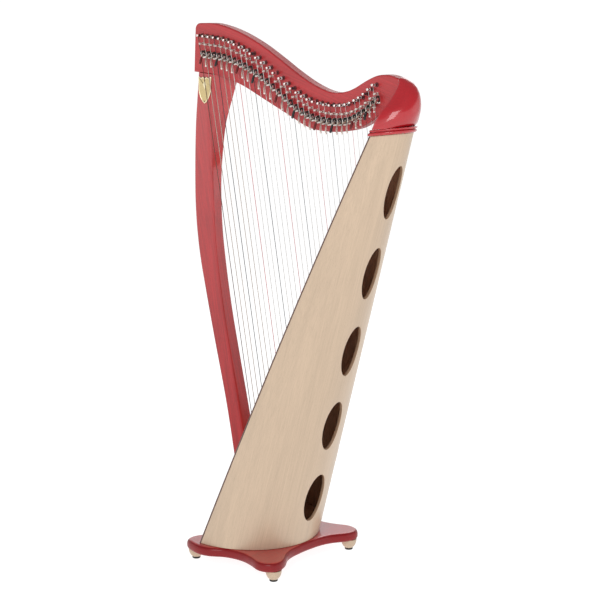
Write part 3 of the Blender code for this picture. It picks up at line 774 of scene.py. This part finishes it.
def make_cap():
    """The smooth cap on the shoulder."""
    levels = cap_levels()
    foot_z, top_z = levels[0][0], levels[-1][0]
    front_line = smooth_line([level[:3] for level in levels], 4)
    rear_line = smooth_line([(level[0], *level[3:]) for level in levels], 4)
    rows = [(*a, *b[1:]) for a, b in zip(front_line, rear_line)]
    z, front, near, far, rear = rows[-1]
    for rise, shrink in ((0.0016, 0.0030), (0.0024, 0.0065), (0.0028, 0.0100)):
        rows.append((z + rise, front, near + shrink, far - shrink, rear - 1.6 * shrink))
    rings = []
    for z, front, near, far, rear in rows:
        middle, reach = (near + far) / 2, (far - near) / 2
        tilt = max(0.0, 1 - (z - foot_z) / (0.35 * (top_z - foot_z)))
        ring = [Vector((front + (rear - front) * cos(angle), middle + reach * sin(angle), z))
                for angle in half_turn(44)]
        ring[0].y += CAP_CORNER
        ring[-1].y -= CAP_CORNER
        for p in ring:
            p.z += tilt * TOP_TILT * (p.x - front)
        rings.append(ring)
    make_piece("rounded_cap", [(loft(rings), red_cap)], "shoulder_cap", sharp_degrees=60)


# ---- neck and column
neck_low, neck_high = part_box("neck")
NECK_EDGE = 0.0025
neck_outline = counter_clockwise([(p.x, p.z) for p in refine(loop_at("neck", 1, neck_low.y + NECK_EDGE))])


def make_neck():
    """The neck, with the layers it is glued up from showing on its edges."""
    thickness = neck_high.y - neck_low.y
    body = plate(neck_outline, edge_profile(thickness, 0.0045, steps=6),
                 lambda a, b, d: Vector((a, neck_low.y + d, b)))
    piece = make_piece("layered_neck", [(body, red_neck)], "neck")
    dress_edges(piece, red_neck_edge, axis=1, limit=0.6)


def column_sizes():
    """Height, front, rear, near side, far side and near rear edge of the CAD column's levels."""
    sizes = []
    for z, points in rings_by_height("column", 8).items():
        xs, ys = [p[0] for p in points], [p[1] for p in points]
        near_rear = max(p[0] for p in points if p[1] < min(ys) + 0.0005)
        sizes.append((z, min(xs), max(xs), min(ys), max(ys), near_rear))
    return sizes


def make_column():
    """The bowed column. Its foot is cut along the soundboard, and its head along the neck."""
    sizes = column_sizes()
    low, high = 0.040, neck_low.z + 0.150
    longer = []
    for end, second, z in ((sizes[0], sizes[1], low), (sizes[-1], sizes[-2], high)):
        share = (z - end[0]) / (end[0] - second[0])
        longer.append([a + share * (a - b) for a, b in zip(end, second)])
    sizes = [longer[0], *sizes, longer[1]]
    rings = []
    for z in np.linspace(low, high, 60):
        front, rear, near = read_curve([size[:4] for size in sizes], z)
        far, near_rear = read_curve([(size[0], *size[4:]) for size in sizes], z)
        corners = [Vector((front, near, z)), Vector((near_rear + 0.003, near, z)),
                   Vector((rear, far, z)), Vector((front, far, z))]
        rings.append(round_corners(corners, 0.0075, steps=5))
    mesh = make_mesh("bowed_column", [(loft(rings), red_column)])
    piece = add_piece("bowed_column", mesh, "column")

    gap, side, reach = 0.0003, 0.1, 0.25
    walls = [(board_front(z) - gap, z) for z in (-0.05, 0.45)]
    block = [walls[0], (walls[0][0] + reach, walls[0][1]), (walls[1][0] + reach, walls[1][1]), walls[1]]
    for name, outline in (("foot_cut", block), ("head_cut", inset(neck_outline, -gap))):
        body = loft([[Vector((x, y, z)) for x, z in outline] for y in (-side, side)])
        tool = put(name, make_mesh(name, [(body, red_column)]))
        modifier = piece.modifiers.new(name, "BOOLEAN")
        modifier.operation = "DIFFERENCE"
        modifier.solver = "EXACT"
        modifier.object = tool
        apply_modifiers(piece)
        bpy.data.objects.remove(tool)
    piece.data.set_sharp_from_angle(angle=radians(35))
    weigh_normals(piece)


def apply_modifiers(piece):
    """Turns the piece's evaluated mesh into its own mesh."""
    bpy.context.view_layer.update()
    evaluated = piece.evaluated_get(bpy.context.evaluated_depsgraph_get())
    made = bpy.data.meshes.new_from_object(evaluated)
    piece.modifiers.clear()
    piece.data = made


def make_badge():
    """A plain shield with a raised border and a lozenge, held by two nails."""
    points = [Vector(p) for p in points_of("badge")]
    centre = sum(points, Vector()) / len(points)
    highest, lowest = max(points, key=lambda p: p.z), min(points, key=lambda p: p.z)
    slope = (highest.y - lowest.y) / (highest.z - lowest.z)
    ordered = sorted({(round(p.x, 5), round(p.z, 5)) for p in points},
                     key=lambda p: atan2(p[1] - centre.z, p[0] - centre.x))
    outline = [(p.x, p.y) for p in refine([Vector(p) for p in ordered])]
    middle = (min(p.y for p in points) + max(p.y for p in points)) / 2

    def on_column(a, b, rise):
        return Vector((a, middle + slope * (b - centre.z) + 0.0006 - rise, b))

    rim = ((0.0, 0.0), (0.0010, 0.0), (0.0015, 0.0005), (0.0015, 0.0024), (0.0010, 0.0029))
    border = plate(outline, rim, on_column)
    shield = plate(outline, ((0.0006, 0.0024), (0.0011, 0.0028), (0.0011, 0.0040)), on_column)
    half_wide, half_tall = 0.0065, 0.0120
    lozenge = [(centre.x + a * half_wide, centre.z + 0.004 + b * half_tall)
               for a, b in ((0, 1), (1, 0), (0, -1), (-1, 0))]
    raised = plate(lozenge, ((0.0008, 0.0), (0.0012, 0.0002), (0.0015, 0.0010)), on_column)
    top, bottom = max(b for _, b in outline), min(b for _, b in outline)
    nail = ((0.0014, 0.0), (0.0016, 0.0014), (0.0013, 0.0019), (0.0007, 0.0021))
    nails = [lathe(nail, 16, -Y, on_column(centre.x, height, 0.0))
             for height in (top - 0.0100, bottom + 0.0060)]
    make_piece("gold_shield", [(border, gold_edge), (shield, gold), (raised, gold_edge),
                               (joined(nails), nail_black)], "badge")


# ---- base and feet
def reach_by_height(points, reach):
    """Sorted (height, greatest reach) of a CAD node's levels."""
    levels = {}
    for x, y, z in points:
        level = round(z, 4)
        levels[level] = max(levels.get(level, 0.0), reach(x, y))
    return sorted(levels.items())


def make_base():
    """The lobed base plate, with its top edge rounded over."""
    points = points_of("base_plate")
    widest = max(points, key=lambda p: p[1])
    outline = [(p.x, p.y) for p in refine(loop_at("base_plate", 2, widest[2]))]
    levels = reach_by_height(points, lambda x, y: y)
    profile = smooth_line([(z, widest[1] - y) for z, y in levels], 4)
    body = plate(outline, [(p.x, max(0.0, p.y)) for p in profile], lambda a, b, z: Vector((a, b, z)))
    piece = make_piece("lobed_base", [(body, red_base)], "base_plate")
    # The side faces take the darker red: a painted shade on the plate's edges.
    dress_edges(piece, red_base_shaded_edge, axis=2, limit=0.9)


def turned_copy(node, name, look):
    """A smooth turned piece from a CAD node's levels."""
    low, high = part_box(node)
    centre = (low + high) / 2
    levels = reach_by_height(points_of(node), lambda x, y: hypot(x - centre.x, y - centre.y))
    profile = [(p.x, p.y) for p in smooth_line([(r, z) for z, r in levels], 4)]
    body = lathe(profile, 40, Z, Vector((centre.x, centre.y, 0)))
    make_piece(name, [(body, look)], node, sharp_degrees=50)


def make_feet():
    for end in ("front", "rear"):
        for side in ("near", "far"):
            turned_copy(f"foot_cup_{end}_{side}", f"turned_foot_{end}_{side}", maple_foot)
            turned_copy(f"foot_pad_{end}_{side}", f"rubber_pad_{end}_{side}", rubber)


# ---- strings, pins and levers
LEVER_OFFSET = 0.0055        # from a lever's pivot to its string
THICKEST, THINNEST = 0.0009, 0.0004
C_STRING, F_STRING, OCTAVE = 0, 3, 7
WOUND_COUNT = 6


def read_pins(node):
    """(x, z) of each pin in a row, where its near end is, and its radius."""
    points = points_of(node)
    tip = min(p[1] for p in points)
    groups = []
    for x, z in sorted((p[0], p[2]) for p in points if p[1] < tip + SAME_PLACE):
        if not groups or x - groups[-1][-1][0] > 0.005:
            groups.append([])
        groups[-1].append((x, z))
    places = [tuple(float(value) for value in np.mean(group, axis=0)) for group in groups]
    return places, tip, max(dist(places[0], point) for point in groups[0])


class String:
    """One string with its pins and its lever."""

    def __init__(self, number, joint, tuning, bridge):
        self.number = number
        self.body = joint["child"]
        self.pivot = Vector(joint["pos_m"])
        self.across = -Vector(joint["axis"])
        self.up = Vector((-self.across.z, 0, self.across.x))
        self.tuning = Vector((tuning[0], 0, tuning[1]))
        self.bridge = Vector((bridge[0], 0, bridge[1]))
        self.radius = THICKEST + (THINNEST - THICKEST) * number / (len(tuning_places) - 1)
        centre = self.pivot - LEVER_OFFSET * self.across
        centre.y = 0
        reach = (board_front(centre.z) - centre.x) / (self.up.x - BOARD_SLOPE * self.up.z)
        self.foot = centre + self.up * reach
        self.top = self.foot + self.up * (self.tuning - self.foot).dot(self.up)
        self.frame = Matrix.Translation(self.pivot) @ Matrix((self.across, Y, self.up)).transposed().to_4x4()

    def kind(self):
        if self.number == 0:
            return "dark"
        if self.number % OCTAVE == C_STRING:
            return "red"
        if self.number % OCTAVE == F_STRING:
            return "black"
        return "wound" if self.number < WOUND_COUNT else "clear"


tuning_places, tuning_tip, TUNING_RADIUS = read_pins("tuning_pins")
bridge_places, bridge_tip, BRIDGE_RADIUS = read_pins("bridge_pins")
joints = sorted(frame["joints"], key=lambda joint: joint["name"])
strings = [String(number, *parts) for number, parts in enumerate(zip(joints, tuning_places, bridge_places))]


def string_body(string):
    """A string from the soundboard to its pin, with its turns round the pin."""
    turns, per_turn = 3.2, 14
    reach = TUNING_RADIUS + string.radius
    path = [string.foot, string.foot.lerp(string.top, 0.5)]
    for step in range(int(turns * per_turn) + 1):
        turn = 2 * pi * step / per_turn
        around_pin = sin(turn) * string.up - cos(turn) * string.across
        path.append(string.tuning + reach * around_pin + 2.1 * string.radius * step / per_turn * Y)
    return tube(path, [string.radius] * len(path), sides=8)


def make_strings():
    looks = {"clear": clear_nylon, "red": red_nylon, "black": black_nylon, "wound": wound_wire,
             "dark": dark_wire}
    for kind, look in looks.items():
        bodies = [string_body(string) for string in strings if string.kind() == kind]
        mesh = make_mesh(f"strings_{kind}", [(joined(bodies), look)], sharp_degrees=60)
        add_piece(f"strings_{kind}", mesh, "strings")


def make_string_strip():
    """The wooden strip on the soundboard's front, with an eyelet for each string."""
    points = points_of("strings")
    half = 0.013
    strip_points = [p for p in points if abs(abs(p[1]) - half) < 0.0002]
    low, high = min(p[2] for p in strip_points), max(p[2] for p in strip_points)
    thickness, gap = 0.005, 0.0003
    front, back = board_front - gap - thickness, board_front - gap
    strip = board_body(low, high, (np.poly1d([-half]), np.poly1d([half])), (front, back), 12, 0.002)
    normal = Vector((-1, 0, BOARD_SLOPE)).normalized()
    eyelets = []
    for string in strings:
        reach = (front(string.foot.z) - string.foot.x) / (string.up.x - BOARD_SLOPE * string.up.z)
        origin = string.foot + string.up * reach
        profile = ((0.0014, -0.0005), (0.0026, 0.0), (0.0027, 0.0005), (0.0022, 0.0010), (0.0014, 0.0008))
        eyelets.append(lathe(profile, 14, normal, origin))
    make_piece("string_strip", [(strip, strip_wood), (joined(eyelets), brass)], "strings")


def make_tuning_pins():
    """Dark pins with a bright domed near end, and a square far end for the tuning key. The shanks' dark red is a
    painted reflection of the neck, and the dark red ring round each pin's root is a painted shadow.
    """
    radius, near_face, far_face, tip_end = TUNING_RADIUS, neck_low.y, neck_high.y, tuning_tip + 0.0042
    dome = [(0.45 * radius, tuning_tip - 0.0006), (0.95 * radius, tuning_tip - 0.0002),
            (1.34 * radius, tuning_tip + 0.0008), (1.34 * radius, tip_end),
            (0.90 * radius, tip_end + 0.0004)]
    shank = [(0.85 * radius, tip_end + 0.0002), (radius, tip_end + 0.0005), (radius, -0.0012),
             (0.93 * radius, -0.0009), (0.93 * radius, 0.0062), (radius, 0.0066),
             (radius, near_face + 0.001), (radius, far_face + 0.006), (0.9 * radius, far_face + 0.007)]
    # A dark red ring at the neck's face round each pin: a painted shadow.
    pin_shadow = [(1.05 * radius, near_face - 0.0020), (2.0 * radius, near_face - 0.0018),
               (2.3 * radius, near_face - 0.0008), (2.3 * radius, near_face + 0.0002)]
    far_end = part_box("tuning_pins")[1].y
    key_end = ((far_face + 0.0065, 0.00175), (far_end - 0.001, 0.00150), (far_end, 0.00115))
    shanks = [lathe(shank, 16, Y, string.tuning) for string in strings]
    for string in strings:
        square = []
        for place, half in key_end:
            corners = [string.tuning + place * Y + half * (a * string.across + b * string.up)
                       for a, b in ((-1, -1), (1, -1), (1, 1), (-1, 1))]
            square.append(round_corners(corners, 0.0006, steps=2))
        shanks.append(loft(square))
    domes = [lathe(dome, 16, Y, string.tuning) for string in strings]
    pin_shadows = [lathe(pin_shadow, 18, Y, string.tuning) for string in strings]
    make_piece("tuning_pin_row", [(joined(shanks), steel_painted_red_reflection), (joined(domes), nickel),
                                  (joined(pin_shadows), pin_shadow_red)], "tuning_pins", sharp_degrees=40)


def make_bridge_pins():
    """Short pins with a groove that each string lies in."""
    radius, flange, face = BRIDGE_RADIUS, 1.75 * BRIDGE_RADIUS, neck_low.y
    bodies = []
    for string in strings:
        groove = string.radius + 0.0005
        profile = [(0.55 * radius, bridge_tip - 0.0001), (1.1 * radius, bridge_tip + 0.0002),
                   (flange, bridge_tip + 0.0009), (flange, -groove - 0.0003), (radius, -groove + 0.0004),
                   (radius, groove - 0.0004), (flange, groove + 0.0003), (flange, groove + 0.0016),
                   (radius, groove + 0.0020), (radius, face - 0.0012), (2 * radius, face - 0.0010),
                   (2 * radius, face + 0.0002)]
        bodies.append(lathe(profile, 16, Y, string.bridge))
    make_piece("bridge_pin_row", [(joined(bodies), dull_nickel)], "bridge_pins", sharp_degrees=40)


# A lever's own axes: X across the string, Y towards the neck, Z up the string, origin on its pivot.
NECK_FACE = neck_low.y - strings[0].pivot.y
LEVER_LENGTH = 0.030
LEVER_LEAN = radians(25)
SLEEVE_LEAN = radians(31)
EAR_RADIUS = 0.0094
HUB_RADIUS = 0.0044


def ear_outline(radius, back):
    """An upright ear's side, as (y, z): a round top, and a lower front corner cut away for the handle."""
    outline = [(back, -0.62 * radius), (0.25 * radius, -0.62 * radius), (-0.22 * radius, -0.36 * radius)]
    for step in range(15):
        turn = radians(-170 - 110 * step / 14)
        outline.append((0.80 * radius * cos(turn), 0.15 * radius + 0.85 * radius * sin(turn)))
    outline.append((back, 0.98 * radius))
    return outline


def upright(outline, x_middle, width, radius):
    """A plate across X from its side's (y, z) outline, with rounded edges."""
    return plate(outline, edge_profile(width, radius, steps=2),
                 lambda a, b, depth: Vector((x_middle - width / 2 + depth, a, b)))


def bracket_bodies():
    """Ears in black, and in bright metal: foot, edge of the near ear, pivot, screws; and the fret."""
    foot_top, back, half = NECK_FACE - 0.0016, NECK_FACE - 0.0003, 0.0095
    x_low, x_high = -0.0093, 0.0037
    foot = loft([round_corners([Vector((x, y, z)) for x, z in (
        (x_low, -half), (x_high, -half), (x_high, half), (x_low, half))], 0.0012, steps=2)
        for y in (foot_top, back)])
    near_outline = ear_outline(EAR_RADIUS, back)
    ears = [upright(near_outline, 0.0028, 0.0014, 0.0002),
            upright(ear_outline(0.0066, back), -0.0028, 0.0012, 0.0002)]
    edge_line = [Vector((0.0028, a, b)) for a, b in near_outline[2:-1]]
    edge = tube(edge_line, [0.0010] * len(edge_line), sides=8)
    pivot = lathe(((0.0013, -0.0040), (0.0022, -0.0038), (0.0022, -0.0035), (0.0011, -0.0033),
                   (0.0011, 0.0036), (0.0040, 0.0037), (0.0040, 0.0041), (0.0031, 0.0048),
                   (0.0014, 0.0050)), 20, X)
    screw = ((0.0021, 0.0), (0.0021, 0.0004), (0.0016, 0.0009), (0.0007, 0.0011))
    screws = [lathe(screw, 14, -Y, Vector((-0.0066, foot_top, z))) for z in (-0.0062, 0.0062)]
    fret_x, fret_y, fret_z, bend = -0.0089, 0.0026, -0.0030, 0.0012
    fret = tube([Vector((x, y, fret_z)) for x, y in ((fret_x, foot_top), (fret_x, fret_y + bend),
                                                     (fret_x + bend, fret_y), (-0.0034, fret_y))],
                [0.0008] * 4, sides=10)
    return joined(ears), joined([foot, edge, pivot, *screws]), fret


def lever_direction(lean):
    """Unit vectors in a lever's side plane: down its handle, and out from it."""
    down = Vector((0, -sin(lean), -cos(lean)))
    return down, Vector((0, down.z, -down.y))


def hub_body():
    """The round hub, with a flat neck where the handle comes out."""
    down, out = lever_direction(LEVER_LEAN)
    turns = [2 * pi * step / 24 for step in range(25)]
    outline = [HUB_RADIUS * (cos(turn) * down + sin(turn) * out) for turn in turns]
    outline = [point for point in outline if point.dot(down) < 0.75 * HUB_RADIUS]
    outline += [down * 0.0085 + out * 0.0022, down * 0.0085 - out * 0.0022]
    middle = down * 0.0025
    outline.sort(key=lambda p: atan2((p - middle).z, (p - middle).y))
    return upright([(p.y, p.z) for p in outline], 0.0, 0.0030, 0.0005)


def lever_bodies():
    """Hub, bowed bare handle, its pale tip, and the straight sleeve that some handles have."""
    down, out = lever_direction(LEVER_LEAN)
    parts = [step / 12 for step in range(13)]
    path = [down * (LEVER_LENGTH * (0.08 + 0.92 * part))
            + out * (0.0042 * sin(pi * part) - 0.0016 * part) for part in parts]
    radii = [0.0018 + 0.0003 * cos(2 * pi * part) for part in parts]
    handle = tube(path, radii, sides=10, squash=0.85)
    angles = [radians(15 + 150 * i / 8) for i in range(9)]
    tip = lathe([(0.0025 * sin(a), -0.0025 * cos(a)) for a in angles], 14, Z, path[-1])
    down, _ = lever_direction(SLEEVE_LEAN)
    sleeve_path = [down * (LEVER_LENGTH * share) for share in (0.10, 0.30, 0.33, 0.60, 0.93, 0.97)]
    sleeve = tube(sleeve_path, [0.0018, 0.0019, 0.0030, 0.0032, 0.0029, 0.0018], sides=14)
    return hub_body(), handle, tip, sleeve


def make_levers():
    hub, handle, tip, sleeve = lever_bodies()
    bare = make_mesh("lever_bare", [(hub, lever_steel), (handle, lever_steel), (tip, pale_tip)])
    red = make_mesh("lever_red", [(hub, lever_steel), (sleeve, red_sleeve)])
    black = make_mesh("lever_black", [(hub, lever_steel), (sleeve, black_sleeve)])
    meshes = {"red": red, "dark": red, "black": black}
    for string in strings:
        piece = put(f"sharpening_{string.body}", meshes.get(string.kind(), bare))
        piece.matrix_world = string.frame
        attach(piece, string.body)
        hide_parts(string.body)


def make_brackets():
    groups = [(joined([placed(body, string.frame) for string in strings]), look)
              for body, look in zip(bracket_bodies(), (black_body, nickel, brass))]
    make_piece("bracket_row", groups, "lever_brackets")


def dress_inner_pieces():
    """CAD nodes inside the harp that keep their own shape."""
    for node in ("inner_string_rib", "liner_near", "liner_far", "top_block", "bottom_block"):
        frame["nodes"][node].material_slots[0].material = inside_wood
    frame["nodes"]["column_bolt"].material_slots[0].material = nickel


# ---- camera, light and floor
def make_camera():
    data = bpy.data.cameras.new("camera")
    data.sensor_width = 36
    data.lens = 92.43
    camera = put("camera", data)
    camera.location = (2.4872, -2.878, 1.446)
    camera.rotation_euler = (radians(90 - 11.2565), 0, radians(40.7136))
    bpy.context.scene.camera = camera


def add_light(name, place, target, size, power):
    data = bpy.data.lights.new(name, "AREA")
    data.shape = "RECTANGLE"
    data.size, data.size_y = size
    data.energy = power
    light = put(name, data)
    light.location = place
    light.rotation_euler = (Vector(target) - Vector(place)).to_track_quat("-Z", "Y").to_euler()


def make_studio():
    """A bright pale floor, an even sky and soft light from the camera's left."""
    scene = bpy.context.scene
    scene.view_settings.view_transform = "Standard"
    world = bpy.data.worlds.new("studio")
    world.use_nodes = True
    background = world.node_tree.nodes["Background"]
    background.inputs["Strength"].default_value = 1.05
    direction = add_node(world, "ShaderNodeTexCoord").outputs["Generated"]
    height = add_node(world, "ShaderNodeSeparateXYZ", {"Vector": direction}).outputs["Z"]
    sky = ramp(world, height, ((0.08, even(1.0)), (0.38, even(0.92)), (0.55, even(0.26))))
    feed(world, background.inputs["Color"], sky)
    scene.world = world
    add_light("key_light", (1.30, -3.00, 3.05), (0.1, 0, 0.9), (1.5, 2.6), 58)
    add_light("side_light", (3.4, 1.6, 1.7), (0.1, 0, 0.9), (2.6, 3.0), 9)
    add_light("back_light", (-1.5, 3.0, 3.0), (0.0, 0, 0.9), (2.2, 2.0), 26)

    mesh = bpy.data.meshes.new("floor")
    reach = 60.0
    mesh.from_pydata([(-reach, -reach, 0), (reach, -reach, 0), (reach, reach, 0), (-reach, reach, 0)], [],
                     [(0, 1, 2, 3)])
    made, _ = shader_of("floor_white", even(0.35), 0.95, Specular_IOR_Level=0.0,
                        Emission_Color=(1, 1, 1, 1), Emission_Strength=0.90)
    mesh.materials.append(made)
    floor = put("floor", mesh)


make_camera()
make_studio()
make_shell()
make_soundboard()
make_ring()
make_cap()
make_neck()
make_column()
make_badge()
make_base()
make_feet()
make_strings()
make_string_strip()
make_tuning_pins()
make_bridge_pins()
make_levers()
make_brackets()
dress_inner_pieces()
